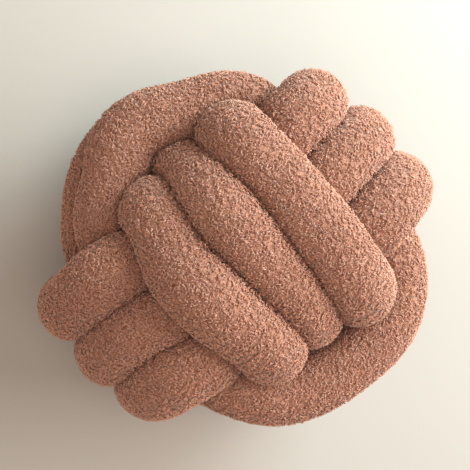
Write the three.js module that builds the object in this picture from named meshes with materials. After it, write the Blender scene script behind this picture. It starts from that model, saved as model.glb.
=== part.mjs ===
// Knot cushion: one long stuffed tube of teddy cloth, wound three turns in each of three directions
// into a ball knot and joined end to end inside it. Millimetres, +Z up. It lies on its back, so the
// three strands of the front face point up, and the floor it rests on is z = 0.
import * as THREE from 'three';

// ---- driving dimensions -------------------------------------------------------------------------
const TUBE_R = 29.5;       // radius of the stuffed tube where nothing presses on it
const SIDE_BY_SIDE = 46.5; // centre distance of two strands that lie side by side
const CROSSED = 39.0;       // centre distance of two strands that cross, where the knot is pulled tight
const LOWEST = -106;      // lowest height of the centreline, from the knot's middle
const FLOOR = -129;       // height of the floor, from the knot's middle: it flattens the strands lying on it
const GAP = 2.6;          // air left between two strands that press on each other
const SIDES = 12;         // flats round the tube
const RINGS = 390;        // cross-sections along the tube
const NODE_STEP = 12;     // spacing of the centreline points while the knot is settled
const HOLD = 0.12;        // pull of each centreline point back to where it was laid
const FOLLOWS = 100;      // length of tube on each side of a section that doesn't press on it
const EVEN_ALONG = 2.5;   // most that a point stands out from those before and after it
const EVEN_ROUND = 5;     // most that it stands out from those beside it round the tube
const BULGE = 1.12;       // most that a pressed section swells on its free side

// ---- the knot: points that the tube is laid through, from the knot's middle -----------------------
// Crown turns go over the front (+Z), down the lower side (-Y), over the back and up the upper side.
const CROWN = [
  [[-38, 56, 38], [-40, 51, 94], [-64, 41, 115], [-60, 14, 112], [-60, -13, 104], [-51, -41, 114], [-46, -58, 90], [-43, -67, 45], [-46, -78, 0],
    [-46, -80, -42], [-46, -74, -88], [-47, -42, -107], [-47, 0, -108], [-47, 42, -107], [-47, 75, -88], [-46, 78, -42], [-23, 72, 0]],
  [[-3, 74, 45], [-26, 65, 88], [-12, 44, 113], [-7, 16, 122], [-6, -17, 119], [8, -47, 112], [4, -72, 91], [5, -80, 45], [1, -78, 0],
    [0, -80, -42], [0, -76, -88], [0, -42, -107], [0, 0, -108], [0, 42, -107], [0, 77, -88], [0, 80, -42], [23, 75, 0]],
  [[44, 80, 45], [27, 78, 94], [45, 50, 119], [41, 17, 124], [45, -9, 130], [45, -44, 116], [56, -46, 95], [55, -59, 84], [51, -65, 46],
    [47, -78, 0], [47, -82, -42], [47, -76, -88], [47, -42, -107], [47, 0, -108], [47, 42, -107], [47, 77, -88], [47, 82, -52], [48, 66, -32],
    [48, 40, -8], [46, 5, 14], [50, -30, 45]],
];
// Wing turns go along the front under the crown, round the right end (+X), along the back and round the left end.
const WINGS = [
  [[50, -47, 78], [79, -55, 89], [107, -42, 92], [141, -45, 61], [151, -45, 15], [153, -42, -20], [138, -47, -58], [108, -47, -88], [60, -47, -76],
    [0, -47, -54], [-60, -47, -76], [-104, -47, -88], [-130, -47, -58], [-141, -47, -20], [-142, -48, 15], [-133, -46, 61], [-104, -43, 92],
    [-79, -44, 87], [-50, -40, 80], [0, -24, 73]],
  [[50, 1, 78], [80, 2, 90], [106, 12, 93], [119, 10, 57], [125, 9, 15], [127, 8, -20], [136, 4, -58], [108, 0, -88], [60, 0, -76], [0, 0, -54],
    [-60, 0, -76], [-108, 0, -88], [-138, 0, -58], [-150, -1, -20], [-151, -2, 15], [-139, 2, 60], [-107, 11, 91], [-78, 6, 88], [-50, 10, 80],
    [0, 25, 73]],
  [[50, 50, 78], [79, 60, 89], [100, 61, 91], [112, 57, 60], [115, 57, 15], [114, 51, -20], [130, 52, -58], [106, 48, -88], [60, 47, -76],
    [0, 47, -54], [-60, 47, -76], [-108, 47, -88], [-140, 48, -58], [-152, 50, -20], [-153, 51, 15], [-141, 53, 60], [-108, 53, 92], [-80, 47, 80],
    [-56, 42, 70], [-34, 42, 54], [-10, 46, 34], [14, 48, 4], [45, 50, -30]],
];
// Girdle turns go round the edge: up the right under the wings, over the top (+Y), down the left, round the bottom.
const GIRDLE = [
  [[106, 50, -47], [83, 79, -46], [59, 101, -48], [40, 124, -47], [0, 134, -47], [-42, 126, -47], [-69, 108, -47], [-92, 80, -47], [-106, 45, -47],
    [-104, 0, -47], [-100, -45, -47], [-84, -86, -47], [-63, -111, -47], [-38, -130, -47], [0, -137, -47], [34, -136, -47], [66, -124, -47],
    [88, -104, -47], [102, -74, -47], [106, -45, -46], [104, 0, -23]],
  [[108, 50, 0], [88, 78, -2], [59, 93, -1], [32, 111, 0], [-4, 137, 0], [-52, 131, 0], [-82, 105, -2], [-104, 80, 2], [-108, 45, 1], [-104, 0, 0],
    [-102, -45, 0], [-86, -86, 0], [-66, -112, 0], [-38, -132, 0], [0, -142, 0], [36, -138, 0], [68, -126, 0], [92, -104, 0], [106, -74, 0],
    [108, -45, 0], [104, 0, 23]],
  [[106, 50, 47], [77, 75, 48], [51, 82, 48], [37, 109, 48], [-2, 139, 46], [-47, 129, 47], [-50, 90, 47], [-54, 54, 55], [-76, 35, 60],
    [-94, 0, 46], [-96, -48, 47], [-81, -88, 47], [-64, -113, 47], [-41, -133, 47], [-4, -137, 47], [30, -140, 47], [65, -130, 46], [84, -113, 47],
    [98, -88, 47], [106, -62, 47], [100, -50, 47], [78, -32, 48], [48, -14, 44], [10, 8, 30], [-22, 36, 16]],
];

// ---- centreline: laid out by hand ------------------------------------------------------------------
function laidOut() {
  const points = [...CROWN, ...WINGS, ...GIRDLE].flat().map((p) => new THREE.Vector3(...p));
  return new THREE.CatmullRomCurve3(points, true, 'centripetal');
}

// ---- centreline: settled so that no two strands are closer than CONTACT ------------------------------
function settled(curve) {
  const count = Math.round(curve.getLength() / NODE_STEP);
  curve.arcLengthDivisions = count * 8; curve.updateArcLengths();
  const home = curve.getSpacedPoints(count).slice(0, count);
  const at = home.map((p) => p.clone());
  const near = Math.ceil(1.9 * SIDE_BY_SIDE / NODE_STEP);
  const push = new THREE.Vector3();
  for (let round = 0; round < 260; round++) {
    const hold = round < 230 ? HOLD : 0;
    const way = at.map((p, i) => at[(i + 1) % count].clone().sub(at[(i + count - 1) % count]).normalize());
    const move = at.map(() => new THREE.Vector3());
    const hits = new Array(count).fill(0);
    for (let i = 0; i < count; i++) for (let j = i + near; j < count - Math.max(0, near - i); j++) {
      push.subVectors(at[i], at[j]);
      const apart = push.length();
      if (apart >= SIDE_BY_SIDE) continue;
      const along = Math.abs(way[i].dot(way[j]));
      const wanted = CROSSED + (SIDE_BY_SIDE - CROSSED) * Math.min(1, Math.max(0, (along - 0.3) / 0.5));
      if (apart < wanted) {
        push.multiplyScalar(0.5 * (wanted - apart) / apart);
        move[i].add(push); move[j].sub(push); hits[i]++; hits[j]++;
      }
    }
    for (let i = 0; i < count; i++) {
      if (hits[i]) at[i].addScaledVector(move[i], 0.9 / Math.max(1, hits[i] * 0.5));
      at[i].lerp(home[i], hold);
    }
    const old = at.map((p) => p.clone());
    for (let i = 0; i < count; i++) {
      const a = old[(i + count - 1) % count], b = old[(i + 1) % count], a2 = old[(i + count - 2) % count], b2 = old[(i + 2) % count];
      push.copy(a).add(b).multiplyScalar(4).sub(a2).sub(b2).multiplyScalar(1 / 6).sub(old[i]);
      at[i].addScaledVector(push, 0.35);
      if (at[i].z < LOWEST) at[i].z += 0.6 * (LOWEST - at[i].z);
    }
  }
  return at;
}

// ---- frames: carried along the closed line without twist, the left-over turn shared out --------------
function framesOf(curve, count) {
  const frames = [];
  for (let i = 0; i < count; i++) {
    const u = i / count;
    const before = curve.getPointAt((u - 0.4 / count + 1) % 1), after = curve.getPointAt((u + 0.4 / count) % 1);
    const at = curve.getPointAt(u);
    const far = curve.getPointAt((u + 1 / count) % 1), back = curve.getPointAt((u - 1 / count + 1) % 1);
    const way = after.sub(before).normalize();
    const step = curve.getLength() / count;
    const bend = far.add(back).addScaledVector(at, -2).divideScalar(step * step);
    frames.push({ at, way, bend });
  }
  let side = new THREE.Vector3(0, 0, 1).cross(frames[0].way).normalize();
  const carry = (f) => side.clone().addScaledVector(f.way, -side.dot(f.way)).normalize();
  for (const f of frames) { side = carry(f); f.side = side.clone(); }
  side = carry(frames[0]);
  const first = frames[0];
  const turn = Math.atan2(new THREE.Vector3().crossVectors(side, first.side).dot(first.way), side.dot(first.side));
  frames.forEach((f, i) => {
    f.side.applyAxisAngle(f.way, turn * i / count);
    f.up = new THREE.Vector3().crossVectors(f.way, f.side);
  });
  return frames;
}

// ---- one section: a circle held back by the strands, the floor and the bend it lies in ----------------
const POWER = 10;
function sectionOf(frame, others) {
  const near = [];
  for (const q of others) {
    const e = q.clone().sub(frame.at);
    if (e.length() < 2.6 * TUBE_R) near.push([e, e.lengthSq()]);
  }
  const ways = [];
  for (let k = 0; k < SIDES; k++) {
    const angle = 2 * Math.PI * k / SIDES;
    const dir = frame.side.clone().multiplyScalar(Math.cos(angle)).addScaledVector(frame.up, Math.sin(angle));
    let limit = 1e3;
    for (const [e, square] of near) {
      const share = dir.dot(e) + GAP;
      if (share > 0) limit = Math.min(limit, (square - GAP * GAP) / (2 * share));
    }
    const inward = dir.dot(frame.bend);
    if (inward > 0) limit = Math.min(limit, 0.78 / inward);
    const floor = dir.z < 0 ? (FLOOR - frame.at.z) / dir.z : 1e3;
    ways.push([dir, limit, floor]);
  }
  let radius = TUBE_R, reach = [];
  for (let round = 0; round < 4; round++) {
    reach = ways.map(([, limit, floor]) => Math.min(floor, (radius ** -POWER + limit ** -POWER) ** (-1 / POWER)));
    let area = 0;
    for (let k = 0; k < SIDES; k++) area += 0.5 * reach[k] * reach[(k + 1) % SIDES] * Math.sin(2 * Math.PI / SIDES);
    const full = 0.5 * SIDES * Math.sin(2 * Math.PI / SIDES) * TUBE_R * TUBE_R;
    radius = Math.min(TUBE_R * BULGE, radius * Math.sqrt(full / area));
  }
  return ways.map(([dir], k) => ({ at: frame.at, dir, reach: reach[k] }));
}

// ---- the tube: one closed skin round the closed line ---------------------------------------------------
function tubeOf(line) {
  const curve = new THREE.CatmullRomCurve3(line, true, 'centripetal');
  curve.arcLengthDivisions = 6000;
  const frames = framesOf(curve, RINGS);
  const fine = 4 * RINGS, dense = curve.getSpacedPoints(fine).slice(0, fine);
  const skip = Math.ceil(FOLLOWS / (curve.getLength() / fine));
  const faces = [];
  const rings = frames.map((frame, i) => {
    const own = 4 * i;
    return sectionOf(frame, dense.filter((q, j) => Math.min(Math.abs(j - own), fine - Math.abs(j - own)) > skip));
  });
  for (let round = 0; round < 3; round++) {
    const was = rings.map((ring) => ring.map((v) => v.reach));
    rings.forEach((ring, i) => ring.forEach((v, k) => {
      const along = 0.5 * (was[(i + 1) % RINGS][k] + was[(i + RINGS - 1) % RINGS][k]);
      const round = 0.5 * (was[i][(k + 1) % SIDES] + was[i][(k + SIDES - 1) % SIDES]);
      v.reach = Math.min(v.reach, along + EVEN_ALONG, round + EVEN_ROUND);
    }));
  }
  const vertices = rings.flat().map((v) => v.at.clone().addScaledVector(v.dir, v.reach));
  for (let i = 0; i < RINGS; i++) for (let k = 0; k < SIDES; k++) {
    const next = (i + 1) % RINGS, l = (k + 1) % SIDES;
    const a = i * SIDES + k, b = i * SIDES + l, c = next * SIDES + k, d = next * SIDES + l;
    if (vertices[a].distanceTo(vertices[d]) < vertices[b].distanceTo(vertices[c])) faces.push(a, b, d, a, d, c);
    else faces.push(a, b, c, b, d, c);
  }
  return { vertices, faces };
}

const line = settled(laidOut());
const { vertices, faces } = tubeOf(line);
const box = new THREE.Box3().setFromPoints(vertices);
const middle = new THREE.Vector3((box.min.x + box.max.x) / 2, (box.min.y + box.max.y) / 2, box.min.z);
const skin = new THREE.BufferGeometry();
skin.setAttribute('position', new THREE.Float32BufferAttribute(vertices.flatMap((p) => p.clone().sub(middle).toArray()), 3));
skin.setIndex(faces);
skin.computeVertexNormals();

const group = new THREE.Group();
group.name = 'knot_cushion';
const cloth = new THREE.MeshStandardMaterial({ color: 0xb9806c, roughness: 1, metalness: 0 });
const tube = new THREE.Mesh(skin, cloth);
tube.name = 'knotted_tube';
group.add(tube);
group.userData.line = line.map((p) => p.toArray());
group.userData.middle = middle.toArray();
export default group;
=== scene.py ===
import math

import bpy
import numpy as np
from mathutils import Matrix, Vector
from mathutils.bvhtree import BVHTree


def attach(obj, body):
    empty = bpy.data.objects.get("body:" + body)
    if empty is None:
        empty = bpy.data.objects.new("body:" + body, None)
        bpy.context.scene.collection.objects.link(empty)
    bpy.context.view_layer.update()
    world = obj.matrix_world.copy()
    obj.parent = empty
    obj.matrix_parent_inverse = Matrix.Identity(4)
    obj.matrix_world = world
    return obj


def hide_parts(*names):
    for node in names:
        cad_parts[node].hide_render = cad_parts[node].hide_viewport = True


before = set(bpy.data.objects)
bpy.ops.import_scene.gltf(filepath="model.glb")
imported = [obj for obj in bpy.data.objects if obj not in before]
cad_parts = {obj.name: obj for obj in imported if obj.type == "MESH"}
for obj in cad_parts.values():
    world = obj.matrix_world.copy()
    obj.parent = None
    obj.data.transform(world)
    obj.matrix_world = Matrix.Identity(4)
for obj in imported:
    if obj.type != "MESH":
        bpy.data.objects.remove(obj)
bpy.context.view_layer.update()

# ---- sizes, metres ------------------------------------------------------------------------------
TUBE_R = 0.0279          # radius of the cloth, without its pile, where nothing presses on it
GAP = 0.0012             # between the cloth of two strands that press on each other: the pile fills it
BULGE = 1.13             # most that a pressed section swells on its free side
RINGS = 1320             # cross-sections along the tube
SIDES = 32               # points round it
FOLLOWS = 0.088          # length of tube on each side of a section that doesn't press on it
FLOOR_Z = 0.0012         # the cloth under the cushion, on its flattened pile
PILE = 0.0017            # height of the pile
LAID = 0.0036            # length of a curl along the cloth
THICK = 0.00066          # radius of a curl at its middle
SEED = 7

# ---- the tube's centreline, closed, in millimetres -------------------------------------------------
LINE = np.array([
    (-47.6, 63.4, 159.2), (-47.7, 71.8, 175.2), (-47.4, 76.3, 192.3), (-47.7, 75.3, 208.5), (-49.0, 69.7, 222.0), (-51.3, 61.6, 231.9),
    (-54.1, 53.0, 238.5), (-57.1, 44.4, 243.0), (-59.7, 35.3, 247.2), (-61.1, 25.1, 252.0), (-61.2, 13.3, 256.9), (-59.9, 0.3, 259.3),
    (-57.6, -12.3, 257.6), (-54.7, -23.7, 252.9), (-51.4, -34.7, 248.0), (-48.0, -46.4, 243.7), (-44.8, -58.8, 238.0), (-42.5, -69.9, 228.7),
    (-41.2, -77.0, 215.4), (-40.9, -78.6, 200.1), (-41.4, -75.9, 185.4), (-42.3, -72.3, 172.3), (-43.2, -70.4, 160.6), (-44.0, -70.9, 149.4),
    (-44.7, -72.8, 138.1), (-45.2, -75.0, 126.4), (-45.4, -76.8, 114.3), (-45.3, -78.3, 102.1), (-45.0, -80.0, 89.5), (-44.7, -82.1, 76.7),
    (-44.8, -83.6, 63.6), (-45.0, -81.8, 50.8), (-45.1, -76.2, 39.2), (-45.2, -67.5, 30.1), (-45.2, -56.6, 24.5), (-45.3, -44.2, 22.9),
    (-45.5, -31.3, 22.9), (-45.6, -18.5, 23.0), (-45.7, -6.0, 23.0), (-46.2, 6.3, 22.9), (-47.2, 18.6, 23.0), (-48.3, 31.1, 22.9),
    (-48.9, 43.9, 22.8), (-48.8, 56.5, 23.6), (-48.2, 68.0, 28.2), (-47.5, 77.2, 36.7), (-47.1, 83.4, 48.0), (-46.8, 85.9, 60.8),
    (-46.1, 84.7, 73.9), (-44.9, 81.7, 86.0), (-42.8, 79.6, 96.7), (-39.7, 80.1, 106.2), (-35.4, 83.9, 115.5), (-29.7, 89.8, 125.6),
    (-23.2, 94.8, 137.5), (-16.6, 96.3, 151.0), (-10.3, 94.4, 164.1), (-5.3, 90.1, 175.7), (-2.5, 84.9, 186.3), (-1.4, 79.8, 196.9),
    (-1.3, 75.1, 208.0), (-2.1, 70.8, 219.5), (-3.5, 65.8, 230.8), (-5.1, 59.1, 240.8), (-6.3, 50.2, 248.7), (-6.9, 39.5, 254.3),
    (-6.8, 27.5, 257.2), (-6.1, 14.7, 257.4), (-5.2, 2.0, 255.1), (-3.9, -10.4, 251.6), (-2.4, -22.2, 248.1), (-0.9, -33.4, 244.7),
    (0.6, -44.0, 240.5), (2.0, -53.7, 235.0), (3.3, -62.1, 227.6), (4.4, -69.0, 218.5), (5.1, -73.9, 208.0), (5.4, -76.9, 196.4),
    (5.3, -78.3, 184.2), (4.9, -78.6, 171.8), (4.1, -78.1, 159.5), (3.1, -77.4, 147.2), (2.1, -77.0, 135.1), (1.4, -77.1, 123.0),
    (1.0, -78.2, 110.8), (1.0, -80.0, 98.5), (1.3, -81.9, 85.9), (1.5, -82.8, 73.3), (1.5, -81.3, 61.0), (1.3, -77.4, 49.6),
    (1.1, -71.0, 39.8), (1.0, -62.5, 32.1), (0.9, -52.3, 27.0), (0.9, -40.8, 24.1), (0.9, -28.8, 23.0), (0.8, -16.5, 23.0),
    (0.7, -4.1, 23.0), (0.2, 8.1, 23.0), (-0.9, 20.3, 23.0), (-2.1, 32.7, 23.4), (-3.0, 45.1, 24.9), (-3.0, 57.0, 27.9),
    (-2.1, 67.7, 32.8), (-1.1, 76.5, 40.0), (-0.7, 83.0, 49.4), (-0.4, 86.4, 60.4), (0.4, 86.9, 72.1), (2.5, 85.8, 83.5),
    (6.3, 84.8, 94.6), (11.5, 84.5, 105.7), (17.1, 85.0, 117.5), (22.8, 85.2, 130.1), (28.6, 84.0, 142.3), (34.2, 81.1, 153.1),
    (38.5, 78.0, 163.0), (41.3, 76.9, 173.2), (42.9, 79.2, 184.2), (44.0, 83.4, 195.9), (44.1, 85.6, 208.1), (43.2, 84.3, 219.9),
    (42.4, 79.7, 230.0), (41.9, 72.2, 238.2), (42.0, 62.6, 244.1), (42.4, 51.6, 248.2), (42.9, 39.9, 251.2), (43.3, 27.8, 253.6),
    (43.5, 15.6, 255.5), (44.0, 3.6, 256.6), (44.7, -7.9, 256.6), (45.6, -18.5, 255.5), (46.3, -28.5, 253.7), (46.7, -38.6, 251.5),
    (46.9, -50.0, 248.1), (47.4, -62.8, 242.0), (48.7, -75.3, 231.4), (51.1, -84.9, 216.5), (53.6, -89.2, 199.5), (55.0, -88.3, 183.0),
    (55.0, -84.9, 168.5), (53.6, -81.5, 156.2), (51.5, -78.8, 145.4), (49.4, -77.3, 135.1), (48.0, -77.2, 124.3), (47.4, -78.1, 112.8),
    (47.4, -79.7, 100.7), (47.7, -81.7, 88.2), (47.9, -83.3, 75.3), (47.9, -83.6, 62.4), (47.6, -81.2, 49.9), (47.4, -75.6, 38.9),
    (47.2, -67.2, 30.2), (47.1, -56.5, 24.8), (47.1, -44.3, 22.9), (47.2, -31.5, 22.9), (47.2, -19.0, 23.0), (47.0, -6.9, 22.9),
    (46.5, 4.9, 22.9), (45.8, 16.8, 23.0), (44.4, 29.6, 22.8), (42.6, 44.1, 22.3), (42.3, 59.6, 22.4), (43.5, 72.7, 25.4),
    (44.8, 81.9, 33.7), (45.5, 87.5, 44.9), (46.0, 89.2, 57.1), (47.2, 86.9, 68.9), (50.1, 81.5, 79.7), (54.3, 75.3, 90.9),
    (57.9, 69.0, 103.6), (58.7, 61.6, 117.1), (57.2, 51.8, 128.5), (55.0, 39.9, 135.1), (52.8, 27.1, 136.5), (50.5, 13.9, 134.4),
    (48.3, 0.4, 133.1), (45.8, -12.8, 136.1), (42.9, -24.8, 144.4), (40.3, -34.0, 157.2), (39.9, -40.1, 172.0), (43.2, -43.5, 186.1),
    (49.9, -44.8, 197.8), (58.3, -45.1, 206.9), (67.5, -45.5, 213.7), (77.1, -46.1, 218.3), (87.0, -46.3, 221.0), (97.1, -45.4, 221.5),
    (107.2, -43.8, 219.6), (117.1, -42.3, 215.1), (126.4, -41.6, 208.4), (134.4, -41.8, 199.6), (140.9, -42.6, 189.3), (145.7, -43.4, 178.0),
    (149.1, -43.7, 166.1), (151.4, -43.4, 154.0), (152.8, -42.7, 141.8), (153.5, -42.0, 129.6), (153.4, -41.6, 117.5), (152.3, -41.7, 105.4),
    (150.0, -42.4, 93.4), (146.4, -43.3, 81.4), (141.3, -44.3, 69.7), (134.4, -45.1, 59.2), (125.6, -45.5, 50.7), (115.4, -45.7, 44.9),
    (104.4, -45.6, 42.6), (93.3, -45.4, 43.7), (82.2, -45.0, 47.7), (71.2, -44.7, 53.5), (59.9, -44.5, 59.3), (48.0, -44.8, 63.7),
    (35.8, -45.0, 67.1), (23.8, -44.8, 69.9), (12.0, -44.4, 71.9), (0.4, -44.1, 72.6), (-11.2, -44.4, 71.8), (-22.9, -44.7, 69.7),
    (-34.9, -44.8, 66.8), (-47.2, -44.7, 63.2), (-59.1, -44.8, 58.6), (-70.4, -45.1, 52.7), (-81.3, -45.3, 47.1), (-92.2, -45.4, 43.7),
    (-103.2, -45.7, 43.5), (-113.8, -45.9, 47.1), (-123.2, -46.0, 54.2), (-130.7, -46.1, 64.1), (-135.7, -46.0, 75.8), (-138.6, -45.8, 88.4),
    (-140.3, -45.7, 101.1), (-141.3, -45.8, 113.6), (-141.8, -46.0, 125.9), (-141.9, -46.1, 138.1), (-141.4, -46.1, 150.3), (-140.1, -45.9, 162.6),
    (-137.6, -45.3, 174.7), (-133.7, -44.4, 186.6), (-128.2, -43.5, 197.7), (-121.0, -42.8, 207.3), (-112.3, -43.0, 214.3), (-102.5, -44.0, 218.0),
    (-91.8, -45.4, 217.9), (-80.6, -46.3, 214.6), (-68.8, -45.7, 209.3), (-56.5, -43.3, 204.4), (-43.5, -40.2, 201.4), (-30.6, -37.5, 200.1),
    (-18.5, -34.5, 200.0), (-7.4, -30.7, 201.0), (3.1, -26.0, 203.3), (13.2, -20.2, 207.2), (23.3, -13.4, 211.8), (34.1, -6.8, 215.6),
    (45.6, -1.7, 218.1), (57.3, 1.8, 219.7), (68.9, 4.5, 220.7), (80.0, 6.8, 221.3), (90.4, 8.8, 221.1), (99.9, 10.3, 219.3),
    (108.6, 10.9, 215.4), (117.0, 10.7, 209.0), (125.7, 10.2, 200.3), (134.4, 10.2, 189.3), (141.8, 11.0, 176.2), (146.0, 12.1, 161.6),
    (146.7, 12.3, 146.9), (146.1, 11.5, 133.2), (146.0, 9.9, 120.6), (145.8, 8.3, 108.6), (144.0, 7.2, 96.6), (140.7, 6.5, 84.6),
    (136.5, 5.7, 72.9), (131.3, 4.6, 61.9), (124.4, 3.5, 52.7), (115.7, 2.4, 46.1), (105.6, 1.7, 42.9), (94.6, 1.5, 43.4),
    (83.5, 1.6, 47.1), (72.4, 1.8, 52.7), (60.9, 1.8, 58.0), (48.7, 1.5, 61.5), (36.4, 1.2, 64.4), (24.6, 1.6, 67.9),
    (13.1, 2.1, 71.2), (1.7, 2.2, 72.8), (-9.9, 2.0, 72.3), (-21.7, 1.8, 70.2), (-33.7, 1.6, 67.2), (-45.8, 1.5, 63.6),
    (-57.7, 1.4, 59.3), (-69.1, 1.4, 53.8), (-80.1, 1.5, 48.1), (-91.1, 1.5, 43.8), (-102.3, 1.6, 42.5), (-113.5, 1.6, 44.5),
    (-123.8, 1.5, 49.9), (-132.6, 1.4, 58.3), (-139.1, 1.3, 68.9), (-143.8, 1.2, 80.7), (-147.0, 0.9, 93.0), (-149.2, 0.5, 105.4),
    (-150.6, 0.1, 117.6), (-151.1, -0.2, 129.9), (-150.8, -0.3, 142.0), (-149.5, 0.0, 154.2), (-147.0, 1.0, 166.2), (-143.3, 2.5, 177.9),
    (-138.2, 4.5, 189.1), (-131.6, 6.6, 199.3), (-123.8, 8.0, 207.9), (-115.0, 8.1, 214.3), (-105.7, 6.5, 218.2), (-95.7, 3.5, 220.1),
    (-84.8, 0.5, 220.6), (-72.2, -1.0, 220.6), (-58.1, -0.7, 221.0), (-43.5, 1.6, 221.5), (-29.7, 6.2, 220.7), (-17.6, 13.0, 218.1),
    (-6.8, 20.9, 214.6), (3.5, 28.1, 210.6), (13.5, 34.0, 207.0), (23.6, 38.5, 205.0), (34.3, 42.0, 205.2), (45.4, 45.0, 207.5),
    (56.7, 48.5, 211.0), (67.5, 53.1, 214.7), (78.0, 57.7, 217.6), (88.4, 60.8, 218.5), (98.6, 62.5, 216.7), (108.1, 63.3, 211.4),
    (116.3, 63.8, 202.9), (122.5, 64.4, 191.8), (126.7, 64.7, 179.0), (130.0, 64.9, 165.8), (133.4, 64.7, 152.7), (136.7, 64.3, 139.6),
    (138.4, 63.1, 126.4), (138.0, 61.0, 113.6), (136.8, 58.5, 101.5), (135.7, 56.0, 90.0), (134.4, 54.0, 78.8), (131.6, 52.6, 67.9),
    (126.1, 51.5, 57.9), (118.1, 50.7, 49.4), (108.2, 49.9, 43.3), (97.4, 49.4, 40.1), (86.4, 49.3, 40.2), (75.5, 49.9, 44.0),
    (63.6, 50.5, 50.7), (49.7, 50.6, 56.5), (35.3, 50.4, 59.5), (22.8, 49.7, 61.6), (12.0, 48.7, 64.2), (2.0, 48.2, 66.9),
    (-8.1, 48.2, 68.7), (-18.5, 48.2, 68.9), (-29.7, 47.9, 67.3), (-41.7, 47.4, 64.6), (-54.3, 47.3, 61.3), (-66.5, 47.7, 56.7),
    (-77.7, 48.1, 50.6), (-88.4, 48.4, 45.2), (-99.4, 48.6, 42.5), (-110.6, 48.8, 43.4), (-121.3, 49.0, 47.7), (-130.6, 49.3, 55.2),
    (-138.1, 49.7, 65.1), (-143.6, 50.1, 76.5), (-147.6, 50.6, 88.4), (-150.4, 51.1, 100.6), (-152.2, 51.6, 112.8), (-153.1, 52.0, 125.0),
    (-153.1, 52.5, 137.2), (-152.1, 52.9, 149.4), (-150.1, 53.4, 161.5), (-147.0, 53.9, 173.5), (-142.4, 54.5, 185.2), (-136.2, 55.1, 196.1),
    (-128.5, 55.7, 205.5), (-119.6, 56.0, 212.7), (-110.0, 55.7, 216.9), (-100.3, 54.4, 218.0), (-90.9, 51.6, 216.0), (-81.5, 47.3, 211.5),
    (-71.8, 41.7, 204.8), (-61.3, 36.1, 196.4), (-49.3, 32.3, 188.2), (-36.2, 32.5, 180.7), (-23.0, 36.4, 174.1), (-11.2, 41.2, 167.9),
    (-1.9, 44.4, 160.9), (4.3, 45.2, 152.5), (8.0, 44.1, 142.9), (10.6, 41.8, 132.5), (14.5, 39.3, 121.9), (21.5, 36.3, 111.9),
    (32.8, 32.8, 103.8), (47.9, 30.1, 98.1), (63.9, 31.1, 94.0), (77.4, 37.0, 90.4), (86.8, 45.0, 87.0), (92.7, 51.5, 84.2),
    (95.6, 56.9, 82.3), (96.6, 63.4, 81.2), (96.2, 72.3, 80.8), (93.9, 84.0, 80.9), (89.0, 97.0, 81.3), (80.9, 109.0, 81.7),
    (69.6, 117.6, 81.8), (56.5, 122.8, 81.7), (43.5, 126.5, 81.5), (31.4, 129.7, 81.6), (19.8, 132.5, 81.8), (8.2, 134.5, 82.0),
    (-3.5, 135.2, 82.0), (-15.6, 134.4, 82.0), (-27.7, 132.2, 82.0), (-39.7, 128.9, 82.1), (-51.6, 124.5, 82.2), (-62.8, 118.9, 82.3),
    (-72.8, 111.6, 82.3), (-81.0, 102.2, 82.3), (-87.7, 91.5, 82.2), (-93.2, 80.2, 82.3), (-97.6, 68.7, 82.4), (-100.8, 57.1, 82.3),
    (-102.8, 45.3, 82.1), (-103.8, 33.4, 81.9), (-103.8, 21.5, 82.1), (-103.2, 9.4, 82.5), (-102.4, -2.8, 82.8), (-101.2, -15.0, 82.9),
    (-99.5, -27.0, 83.0), (-97.5, -39.0, 83.0), (-95.4, -50.9, 82.9), (-92.8, -62.9, 82.5), (-89.5, -74.9, 82.3), (-85.3, -86.9, 82.3),
    (-79.8, -98.3, 82.5), (-72.3, -108.4, 82.6), (-62.6, -116.2, 82.5), (-51.3, -122.2, 82.3), (-39.7, -127.0, 82.1), (-27.9, -130.8, 82.0),
    (-16.1, -133.7, 82.0), (-4.1, -135.6, 82.0), (8.1, -136.3, 82.0), (20.4, -136.0, 82.0), (32.6, -134.6, 82.0), (44.5, -131.8, 82.0),
    (56.0, -127.7, 82.0), (66.8, -122.0, 82.0), (76.6, -114.8, 82.0), (85.1, -106.2, 81.9), (92.2, -96.4, 81.8), (97.5, -85.6, 81.8),
    (101.3, -74.2, 82.0), (103.6, -62.5, 82.7), (104.7, -50.5, 83.8), (104.7, -38.5, 85.4), (103.8, -26.6, 88.0), (102.2, -15.0, 91.7),
    (100.8, -4.2, 96.7), (100.9, 5.7, 102.9), (102.6, 15.5, 110.0), (103.9, 26.0, 116.8), (103.2, 36.9, 122.6), (101.4, 48.1, 126.8),
    (99.7, 59.6, 129.3), (97.1, 71.0, 130.6), (92.6, 81.5, 130.7), (85.3, 90.5, 129.8), (75.9, 98.4, 128.4), (65.3, 105.8, 127.5),
    (54.3, 113.0, 127.2), (42.9, 119.3, 127.5), (31.2, 124.5, 128.0), (19.4, 128.9, 128.5), (7.9, 132.9, 128.9), (-3.4, 136.4, 129.1),
    (-14.8, 138.7, 129.1), (-26.4, 139.0, 129.0), (-38.0, 137.0, 128.8), (-49.2, 132.8, 128.6), (-59.9, 126.8, 128.4), (-69.9, 119.5, 128.3),
    (-79.1, 111.2, 128.5), (-87.6, 102.4, 128.8), (-95.2, 92.9, 129.1), (-101.4, 82.8, 129.1), (-105.9, 71.9, 128.8), (-108.7, 60.2, 128.3),
    (-109.7, 48.1, 127.9), (-108.9, 35.6, 128.0), (-107.3, 23.2, 128.4), (-105.6, 10.9, 128.9), (-104.4, -1.3, 129.2), (-103.6, -13.4, 129.3),
    (-102.9, -25.5, 129.3), (-101.6, -37.6, 129.3), (-99.5, -49.6, 129.2), (-96.2, -61.3, 129.1), (-91.8, -72.7, 129.0), (-86.3, -83.7, 129.0),
    (-79.8, -94.1, 129.0), (-72.3, -103.8, 129.0), (-63.8, -112.6, 129.0), (-54.3, -120.3, 129.0), (-44.0, -126.9, 129.0), (-33.0, -132.3, 129.0),
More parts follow.
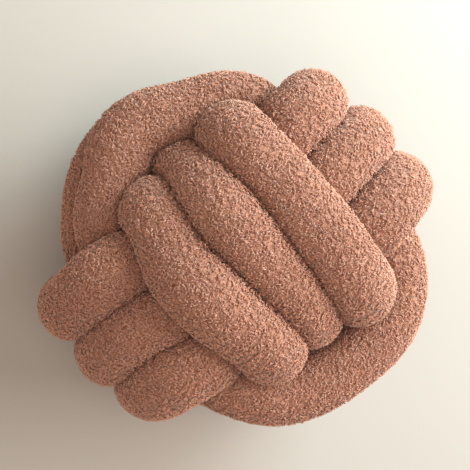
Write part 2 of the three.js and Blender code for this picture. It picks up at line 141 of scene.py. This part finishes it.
    (-21.5, -136.3, 129.0), (-9.7, -139.0, 129.0), (2.4, -140.2, 129.0), (14.6, -140.1, 129.0), (26.8, -138.8, 129.0), (38.9, -136.3, 129.0),
    (50.6, -132.6, 129.0), (61.8, -127.7, 129.0), (72.3, -121.6, 129.0), (81.9, -114.0, 129.0), (90.1, -105.1, 128.9), (96.9, -95.1, 128.7),
    (102.2, -84.2, 128.5), (105.8, -72.7, 128.5), (108.1, -60.9, 129.1), (109.4, -49.2, 130.4), (109.9, -37.7, 133.0), (109.9, -26.7, 137.1),
    (109.5, -16.0, 143.1), (107.9, -5.4, 150.1), (105.1, 5.2, 157.1), (102.0, 15.4, 163.3), (99.2, 25.2, 167.9), (96.4, 34.8, 171.1),
    (92.9, 44.2, 173.3), (89.3, 53.7, 174.9), (86.2, 63.7, 175.9), (83.6, 74.4, 176.2), (80.6, 85.9, 175.8), (75.6, 97.4, 174.8),
    (67.2, 107.3, 173.9), (55.6, 114.3, 173.8), (43.1, 119.1, 174.4), (31.2, 123.4, 175.2), (20.3, 128.5, 175.7), (9.8, 133.8, 175.8),
    (-1.1, 138.4, 175.7), (-12.5, 140.6, 175.6), (-23.6, 139.7, 175.6), (-33.1, 135.5, 175.6), (-40.7, 129.1, 175.6), (-47.0, 121.8, 175.4),
    (-53.8, 115.0, 175.1), (-62.6, 108.5, 174.8), (-73.2, 100.8, 174.5), (-82.6, 89.6, 173.9), (-88.2, 74.9, 172.8), (-90.3, 59.2, 170.9),
    (-90.7, 44.8, 169.8), (-90.5, 32.4, 170.8), (-90.6, 22.1, 173.1), (-91.4, 12.7, 175.2), (-92.8, 3.2, 176.3), (-94.6, -7.2, 176.3),
    (-96.0, -18.5, 175.8), (-96.4, -30.6, 175.4), (-95.6, -42.9, 175.4), (-93.3, -55.0, 175.6), (-89.7, -66.7, 175.9), (-85.1, -78.1, 176.1),
    (-79.5, -89.1, 176.1), (-73.0, -99.7, 176.1), (-65.6, -109.6, 176.0), (-57.3, -118.3, 176.0), (-47.8, -125.3, 176.0), (-37.4, -130.6, 176.0),
    (-26.0, -134.0, 176.0), (-14.0, -136.1, 176.0), (-1.7, -137.3, 176.1), (10.7, -138.0, 176.0), (23.1, -138.2, 175.9), (35.3, -137.4, 175.7),
    (47.1, -135.2, 175.5), (58.5, -131.3, 175.4), (69.1, -125.6, 175.4), (78.7, -118.2, 175.5), (87.2, -109.0, 175.7), (94.2, -98.4, 175.9),
    (99.5, -87.2, 176.0), (102.8, -75.9, 176.1), (103.5, -65.2, 176.1), (101.1, -55.4, 176.2), (95.7, -46.3, 176.4), (88.2, -37.0, 176.7),
    (79.5, -26.6, 176.7), (70.4, -15.4, 176.3), (60.4, -5.6, 175.0), (49.0, 1.0, 172.9), (36.9, 4.1, 169.9), (25.0, 4.7, 165.5),
    (13.4, 4.7, 159.6), (1.8, 5.8, 152.7), (-9.7, 9.5, 145.4), (-20.8, 17.0, 139.4), (-30.9, 27.9, 136.8), (-39.3, 40.4, 139.0),
    (-45.1, 52.7, 146.6),
]) / 1000.0
KNOT = (0.0005, 0.00158, 0.129)   # the knot's middle, metres


def through(points, count):
    """count points at equal distances along the closed smooth curve through points."""
    n = len(points)
    p0, p1, p2, p3 = (np.roll(points, k, axis=0) for k in (1, 0, -1, -2))
    t = (np.arange(12) / 12)[None, :, None]
    fine = 0.5 * (2 * p1[:, None] + (p2 - p0)[:, None] * t + (2 * p0 - 5 * p1 + 4 * p2 - p3)[:, None] * t ** 2
                  + (3 * p1 - p0 - 3 * p2 + p3)[:, None] * t ** 3)
    fine = fine.reshape(-1, 3)
    closed = np.vstack([fine, fine[:1]])
    s = np.concatenate([[0], np.cumsum(np.linalg.norm(np.diff(closed, axis=0), axis=1))])
    at = np.arange(count) * s[-1] / count
    return np.stack([np.interp(at, s, closed[:, k]) for k in range(3)], 1), s[-1]


def unit(v):
    return v / np.maximum(np.linalg.norm(v, axis=-1, keepdims=True), 1e-12)


def smooth_closed(a, rounds):
    for _ in range(rounds):
        a = 0.25 * np.roll(a, 1, axis=0) + 0.5 * a + 0.25 * np.roll(a, -1, axis=0)
    return a


# ---- frames carried along the line ------------------------------------------------------------------
line, length = through(LINE, RINGS)
line = smooth_closed(line, 3)
step = length / RINGS
way = unit(np.roll(line, -1, axis=0) - np.roll(line, 1, axis=0))
bend = smooth_closed((np.roll(line, -1, axis=0) + np.roll(line, 1, axis=0) - 2 * line) / step ** 2, 4)
side = np.zeros_like(line)
v = unit(np.cross([0, 0, 1.0], way[0]))
for i in range(RINGS):
    v = unit(v - way[i] * (v @ way[i]))
    side[i] = v
v = unit(v - way[0] * (v @ way[0]))
turn = math.atan2(np.cross(v, side[0]) @ way[0], v @ side[0])
angle = turn * np.arange(RINGS) / RINGS
up = np.cross(way, side)
side = side * np.cos(angle)[:, None] + up * np.sin(angle)[:, None]
up = np.cross(way, side)

# ---- sections, pressed by the strands beside them, the floor and their own bend -------------------------
rng = np.random.default_rng(SEED)
theta = 2 * np.pi * np.arange(SIDES) / SIDES
dirs = side[:, None] * np.cos(theta)[None, :, None] + up[:, None] * np.sin(theta)[None, :, None]
skip = int(FOLLOWS / step)
limit = np.full((RINGS, SIDES), 1.0)
index = np.arange(RINGS)
for i in range(RINGS):
    e = line - line[i]
    square = (e * e).sum(1)
    far = np.minimum(np.abs(index - i), RINGS - np.abs(index - i)) > skip
    near = far & (square < (2.7 * TUBE_R) ** 2)
    if near.any():
        share = dirs[i] @ e[near].T + GAP
        lim = np.where(share > 1e-6, (square[near] - GAP ** 2) / (2 * np.maximum(share, 1e-6)), 1.0)
        limit[i] = np.minimum(limit[i], lim.min(1))
inward = (dirs * bend[:, None]).sum(2)
limit = np.minimum(limit, np.where(inward > 1e-3, 0.87 / np.maximum(inward, 1e-3), 1.0))
drop = np.where(dirs[..., 2] < -1e-3, (FLOOR_Z - line[:, None, 2]) / np.minimum(dirs[..., 2], -1e-3), 1.0)

# stuffing is never even: soft swellings along the strand
def along_noise(wave, seed):
    r = np.random.default_rng(seed)
    n = max(4, int(length / wave))
    return np.interp(np.arange(RINGS) * n / RINGS, np.arange(n + 1), np.append(*(lambda a: (a, a[:1]))(r.uniform(-1, 1, n))))


swell = smooth_closed(along_noise(0.07, 3), 10) * 0.022 + smooth_closed(along_noise(0.03, 4), 4) * 0.012
POWER = 11
full = 0.5 * SIDES * math.sin(2 * math.pi / SIDES) * TUBE_R ** 2
radius = np.full(RINGS, TUBE_R)
for _ in range(6):
    reach = np.minimum(drop, (radius[:, None] ** -POWER + limit ** -POWER) ** (-1 / POWER))
    area = 0.5 * math.sin(2 * math.pi / SIDES) * (reach * np.roll(reach, -1, axis=1)).sum(1)
    radius = np.minimum(TUBE_R * BULGE, radius * np.sqrt(full / area))
radius = smooth_closed(radius, 6) * (1 + swell)
reach = (radius[:, None] ** -POWER + limit ** -POWER) ** (-1 / POWER)
reach = 0.5 * reach + 0.25 * np.roll(reach, 1, axis=0) + 0.25 * np.roll(reach, -1, axis=0)
reach = np.minimum(drop, reach)
skin = line[:, None] + dirs * reach[..., None]
skin = skin.reshape(-1, 3)


def grid_faces(rows, cols):
    i, k = np.meshgrid(np.arange(rows), np.arange(cols), indexing="ij")
    a = i * cols + k
    b = i * cols + (k + 1) % cols
    c = ((i + 1) % rows) * cols + (k + 1) % cols
    d = ((i + 1) % rows) * cols + k
    return np.stack([a, b, c, d], -1).reshape(-1, 4)


quads = grid_faces(RINGS, SIDES)


def mesh_of(name, verts, faces, smooth=True):
    """A mesh object from arrays: faces all have the same number of corners."""
    me = bpy.data.meshes.new(name)
    n, c = faces.shape
    me.vertices.add(len(verts))
    me.vertices.foreach_set("co", np.ascontiguousarray(verts, dtype=np.float32).ravel())
    me.loops.add(n * c)
    me.loops.foreach_set("vertex_index", np.ascontiguousarray(faces, dtype=np.int32).ravel())
    me.polygons.add(n)
    me.polygons.foreach_set("loop_start", (np.arange(n) * c).astype(np.int32))
    me.polygons.foreach_set("loop_total", np.full(n, c, np.int32))
    me.polygons.foreach_set("use_smooth", np.full(n, smooth, bool))
    me.update(calc_edges=True)
    me.validate()
    ob = bpy.data.objects.new(name, me)
    bpy.context.scene.collection.objects.link(ob)
    return ob


# ---- which cloth can be seen from outside ----------------------------------------------------------------
def normals_of(verts, faces):
    a, b, c, d = (verts[faces[:, k]] for k in range(4))
    return unit(np.cross(c - a, d - b))


quad_mid = skin[quads].mean(1)
quad_n = normals_of(skin, quads)
if ((quad_mid - np.repeat(line, SIDES, axis=0)) * quad_n).sum(1).mean() < 0:
    quads = quads[:, ::-1]
    quad_n = -quad_n
corner = skin[quads]
quad_area = 0.5 * np.linalg.norm(np.cross(corner[:, 2] - corner[:, 0], corner[:, 3] - corner[:, 1]), axis=1)
tree = BVHTree.FromPolygons([Vector(p) for p in skin], [tuple(int(x) for x in q) for q in quads])
RAYS = 10
ray_u = np.random.default_rng(11).uniform(0, 1, (len(quads), RAYS, 2))
phi = 2 * np.pi * ray_u[..., 0]
cosine = np.sqrt(1 - 0.93 * ray_u[..., 1])
sine = np.sqrt(1 - cosine ** 2)
t1 = unit(np.cross(quad_n, np.array([0.31, 0.52, 0.79])))
t2 = np.cross(quad_n, t1)
rays = (t1[:, None] * (sine * np.cos(phi))[..., None] + t2[:, None] * (sine * np.sin(phi))[..., None]
        + quad_n[:, None] * cosine[..., None])
open_share = np.zeros(len(quads))
start = quad_mid + quad_n * 0.0015
cast = tree.ray_cast
for i in range(len(quads)):
    s = Vector(start[i])
    free = 0
    for r in rays[i]:
        if cast(s, Vector(r), 0.5)[0] is None:
            free += 1
    open_share[i] = free / RAYS
grid = open_share.reshape(RINGS, SIDES)
for _ in range(2):
    grid = 0.2 * (grid + np.roll(grid, 1, 0) + np.roll(grid, -1, 0) + np.roll(grid, 1, 1) + np.roll(grid, -1, 1))
open_share = grid.reshape(-1)

# ---- pile: short curls of fleece, only where the cloth shows -----------------------------------------------
TUFTS = 150000
weight = quad_area * np.clip(open_share * 6, 0, 1)
weight *= np.where(quad_mid[:, 2] < 0.006, 0.25, 1.0)
shown_area = weight.sum()
pick = np.searchsorted(np.cumsum(weight) / shown_area, (np.arange(TUFTS) + rng.uniform(0, 1, TUFTS)) / TUFTS)
pick = np.clip(pick, 0, len(quads) - 1)
u, w = rng.uniform(0, 1, (2, TUFTS, 1))
c0, c1, c2, c3 = (corner[pick, k] for k in range(4))
root = (c0 * (1 - u) + c1 * u) * (1 - w) + (c3 * (1 - u) + c2 * u) * w
vert_n = np.zeros_like(skin)
for k in range(4):
    np.add.at(vert_n, quads[:, k], quad_n * quad_area[:, None])
vert_n = unit(vert_n)
n0, n1, n2, n3 = (vert_n[quads[pick, k]] for k in range(4))
out = unit((n0 * (1 - u) + n1 * u) * (1 - w) + (n3 * (1 - u) + n2 * u) * w)
ta = unit(np.cross(out, np.roll(out, 1, axis=1) + 0.13))
tb = np.cross(out, ta)
def field(points, wave, seed):
    """A soft random field in -1..1 over points, its swells about wave apart."""
    r = np.random.default_rng(seed)
    total = np.zeros(len(points))
    for _ in range(6):
        k = unit(r.normal(0, 1, 3)) * 2 * np.pi / (wave * r.uniform(0.75, 1.4))
        total += np.sin(points @ k + r.uniform(0, 6.28))
    return total / 2.4


# curls that lie near each other lean much the same way, in wisps, and stand in low clumps
clump = np.clip(0.6 * field(root, 0.0085, 21) + 0.5 * field(root, 0.0052, 22), -1, 1)[:, None]
drift = (2.2 * field(root, 0.016, 23) + 1.1 * field(root, 0.007, 24))[:, None]
spin = drift + rng.normal(0, 0.75, (TUFTS, 1))
lean = ta * np.cos(spin) + tb * np.sin(spin)
across = np.cross(out, lean)
shut = (1 - np.clip(open_share[pick] * 2.2, 0, 1))[:, None]      # 1 down in the creases
tall = PILE * rng.uniform(0.55, 1.15, (TUFTS, 1)) * (1 + 0.28 * clump + 0.45 * shut)
over = LAID * rng.uniform(0.55, 1.25, (TUFTS, 1)) * (1 - 0.35 * shut)
thick = THICK * rng.uniform(0.75, 1.3, (TUFTS, 1))
curl = rng.normal(0, 0.5, (TUFTS, 1))
p0 = root - out * 0.0009
p1 = root + out * tall + lean * over * 0.42 + across * curl * over * 0.12
p2 = root + out * tall * rng.uniform(0.5, 1.45, (TUFTS, 1)) + lean * over * 0.95 + across * curl * over * 0.62
SECTION = 3
rows = [p0]
axis = unit(lean + across * curl * 0.5)
s1 = unit(out - axis * (out * axis).sum(1, keepdims=True))
s2 = np.cross(axis, s1)
for k in range(SECTION):
    a = 2 * np.pi * k / SECTION
    rows.append(p1 + thick * (s1 * math.cos(a) + s2 * math.sin(a)))
rows.append(p2)
tuft_verts = np.stack(rows, 1)                       # TUFTS x 5 x 3: a curl is thick in its middle and thin at both ends
tuft_faces = []
for k in range(SECTION):
    l = (k + 1) % SECTION
    tuft_faces += [[0, 1 + l, 1 + k], [1 + k, 1 + l, SECTION + 1]]
tuft_faces = np.array(tuft_faces)
per = tuft_verts.shape[1]
tip = np.tile(np.array([0, 0.8, 0.8, 0.8, 1.0]), TUFTS).reshape(TUFTS, per)
# tone per curl: clumped and random, minus painted shade in the creases, so curls where shut is high are painted darker
shade = np.repeat(np.clip(0.5 + 0.22 * clump + rng.uniform(-0.22, 0.22, (TUFTS, 1)), 0, 1) - 0.8 * shut, per, axis=1)
tuft_verts[..., 2] = np.maximum(tuft_verts[..., 2], 0.0001)

# ---- materials ------------------------------------------------------------------------------------------------
def colour(c):
    """sRGB 0..255 to linear."""
    v = np.array(c, float) / 255
    v = np.where(v <= 0.04045, v / 12.92, ((v + 0.055) / 1.055) ** 2.4)
    return (float(v[0]), float(v[1]), float(v[2]), 1.0)


def node(tree, kind, **inputs):
    n = tree.nodes.new(kind)
    for key, value in inputs.items():
        n.inputs[key.replace("_", " ")].default_value = value
    return n


def cloth_material(name, dark, light, pale, grain, depth):
    m = bpy.data.materials.new(name)
    m.use_nodes = True
    t = m.node_tree
    shader = t.nodes["Principled BSDF"]
    shader.inputs["Roughness"].default_value = 0.92
    shader.inputs["Specular IOR Level"].default_value = 0.18
    shader.inputs["Sheen Weight"].default_value = 0.44
    shader.inputs["Sheen Roughness"].default_value = 0.45
    shader.inputs["Sheen Tint"].default_value = colour((255, 244, 238))
    place = t.nodes.new("ShaderNodeTexCoord")
    broad = node(t, "ShaderNodeTexNoise", Scale=14.0, Detail=3.0, Roughness=0.5)
    fine = node(t, "ShaderNodeTexNoise", Scale=grain, Detail=2.0, Roughness=0.6)
    t.links.new(place.outputs["Object"], broad.inputs["Vector"])
    t.links.new(place.outputs["Object"], fine.inputs["Vector"])
    ramp = t.nodes.new("ShaderNodeValToRGB")
    ramp.color_ramp.elements[0].position = 0.3
    ramp.color_ramp.elements[0].color = dark
    ramp.color_ramp.elements[1].position = 0.72
    ramp.color_ramp.elements[1].color = light
    mid = t.nodes.new("ShaderNodeMix")
    mid.data_type = "RGBA"
    mid.blend_type = "MULTIPLY"
    mid.inputs["Factor"].default_value = 1.0
    soft = t.nodes.new("ShaderNodeValToRGB")
    soft.color_ramp.elements[0].position = 0.3
    soft.color_ramp.elements[0].color = (0.90, 0.87, 0.86, 1)
    soft.color_ramp.elements[1].position = 0.7
    soft.color_ramp.elements[1].color = (1.0, 1.0, 1.0, 1)
    t.links.new(broad.outputs["Fac"], soft.inputs["Fac"])
    if depth:
        fact = t.nodes.new("ShaderNodeAttribute")
        fact.attribute_name = "tip"
        # the curls' tone, which carries the painted crease shade
        per_tuft = t.nodes.new("ShaderNodeAttribute")
        per_tuft.attribute_name = "shade"
        add = t.nodes.new("ShaderNodeMath")
        add.operation = "MULTIPLY_ADD"
        t.links.new(per_tuft.outputs["Fac"], add.inputs[0])
        add.inputs[1].default_value = 0.42
        scaled = t.nodes.new("ShaderNodeMath")
        scaled.operation = "MULTIPLY_ADD"
        t.links.new(fact.outputs["Fac"], scaled.inputs[0])
        scaled.inputs[1].default_value = 0.5
        scaled.inputs[2].default_value = 0.04
        t.links.new(scaled.outputs[0], add.inputs[2])
        t.links.new(add.outputs[0], ramp.inputs["Fac"])
        e = ramp.color_ramp.elements.new(0.93)
        e.color = pale
        # the darkest colour: reached at the roots, and where the painted crease shade pulls a curl down
        e = ramp.color_ramp.elements.new(0.0)
        e.color = colour((98, 57, 42))
    else:
        t.links.new(fine.outputs["Fac"], ramp.inputs["Fac"])
        fine.inputs["Distortion"].default_value = 1.6
        ramp.color_ramp.elements[0].position = 0.38
        ramp.color_ramp.elements[1].position = 0.56
        bump = t.nodes.new("ShaderNodeBump")
        bump.inputs["Strength"].default_value = 0.7
        bump.inputs["Distance"].default_value = 0.001
        t.links.new(fine.outputs["Fac"], bump.inputs["Height"])
        t.links.new(bump.outputs["Normal"], shader.inputs["Normal"])
    t.links.new(ramp.outputs["Color"], mid.inputs["A"])
    t.links.new(soft.outputs["Color"], mid.inputs["B"])
    t.links.new(mid.outputs["Result"], shader.inputs["Base Color"])
    return m


ground_cloth = cloth_material("teddy_ground", colour((112, 66, 48)), colour((188, 134, 109)), colour((200, 148, 120)), 520.0, False)
pile_cloth = cloth_material("teddy_pile", colour((156, 95, 70)), colour((209, 148, 120)), colour((226, 178, 154)), 420.0, True)

# ---- the pieces --------------------------------------------------------------------------------------------------
base = mesh_of("cushion_cloth", skin, quads)
base.data.materials.append(ground_cloth)
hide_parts("knotted_tube")
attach(base, "root")

LOTS = 5
order = np.arange(TUFTS)
for lot in range(LOTS):
    mine = order[order * LOTS // TUFTS == lot]
    verts = tuft_verts[mine].reshape(-1, 3)
    faces = (tuft_faces[None] + (np.arange(len(mine)) * per)[:, None, None]).reshape(-1, 3)
    ob = mesh_of(f"pile_{lot + 1}", verts, faces)
    for name, values in (("tip", tip), ("shade", shade)):
        a = ob.data.attributes.new(name, "FLOAT", "POINT")
        a.data.foreach_set("value", values[mine].ravel().astype(np.float32))
    ob.data.materials.append(pile_cloth)
    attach(ob, "root")

# ---- stage -----------------------------------------------------------------------------------------------------------
floor = mesh_of("floor", np.array([[-4, -4, 0], [4, -4, 0], [4, 4, 0], [-4, 4, 0]], float), np.array([[0, 1, 2, 3]]), False)
pale = bpy.data.materials.new("floor_pale")
pale.use_nodes = True
pale.node_tree.nodes["Principled BSDF"].inputs["Base Color"].default_value = colour((182, 171, 160))
pale.node_tree.nodes["Principled BSDF"].inputs["Roughness"].default_value = 0.8
floor.data.materials.append(pale)

# ---- camera ------------------------------------------------------------------------------------------------------------
ROLL, TILT_X, TILT_Y = math.radians(-38), math.radians(-9), math.radians(0)
right = Vector((math.cos(ROLL), math.sin(ROLL), 0))
upward = Vector((-math.sin(ROLL), math.cos(ROLL), 0))
target = Vector(KNOT)
toward = (Vector((0, 0, 1)) + right * math.tan(TILT_X) + upward * math.tan(TILT_Y)).normalized()
cam_right = upward.cross(toward).normalized()
cam_up = toward.cross(cam_right)
cam_data = bpy.data.cameras.new("camera")
cam = bpy.data.objects.new("camera", cam_data)
bpy.context.scene.collection.objects.link(cam)
cam.matrix_world = Matrix((
    (cam_right.x, cam_up.x, toward.x, target.x + toward.x * 1.0),
    (cam_right.y, cam_up.y, toward.y, target.y + toward.y * 1.0),
    (cam_right.z, cam_up.z, toward.z, target.z + toward.z * 1.0),
    (0, 0, 0, 1)))
cam_data.sensor_width = 36
cam_data.lens = 1061 / 470 * 36
cam_data.shift_x = -2 / 470
cam_data.shift_y = 11 / 470
cam_data.clip_start = 0.05
cam_data.clip_end = 20
bpy.context.scene.camera = cam

# ---- light ----------------------------------------------------------------------------------------------------------------
def area_light(name, offset, size, power, tint):
    """offset: (right, up, toward the camera) in the picture, metres from the knot's middle."""
    data = bpy.data.lights.new(name, "AREA")
    data.shape = "DISK"
    data.size = size
    data.energy = power
    data.color = tint
    ob = bpy.data.objects.new(name, data)
    bpy.context.scene.collection.objects.link(ob)
    ob.location = target + right * offset[0] + upward * offset[1] + Vector((0, 0, 1)) * offset[2]
    ob.rotation_euler = (ob.location - target).to_track_quat("Z", "Y").to_euler()
    return ob


area_light("key", (1.6, 0.35, 1.2), 2.0, 56, (0.96, 0.99, 1.0))
area_light("rim", (0.85, 0.80, 0.50), 0.9, 28, (0.68, 0.93, 1.0))
area_light("front", (-0.1, -0.3, 2.3), 1.4, 18.5, (1.0, 0.91, 0.82))
area_light("fill", (-1.3, -0.5, 0.8), 1.0, 4.5, (1.0, 0.94, 0.88))
world = bpy.data.worlds.new("studio")
bpy.context.scene.world = world
world.use_nodes = True
world.node_tree.nodes["Background"].inputs["Color"].default_value = (1.0, 0.92, 0.84, 1)
world.node_tree.nodes["Background"].inputs["Strength"].default_value = 0.30
bpy.context.scene.view_settings.view_transform = "Standard"
bpy.context.scene.view_settings.look = "None"

# ---- the view layer brought up to date ---------------------------------------------------------------------------------------
bpy.context.view_layer.update()
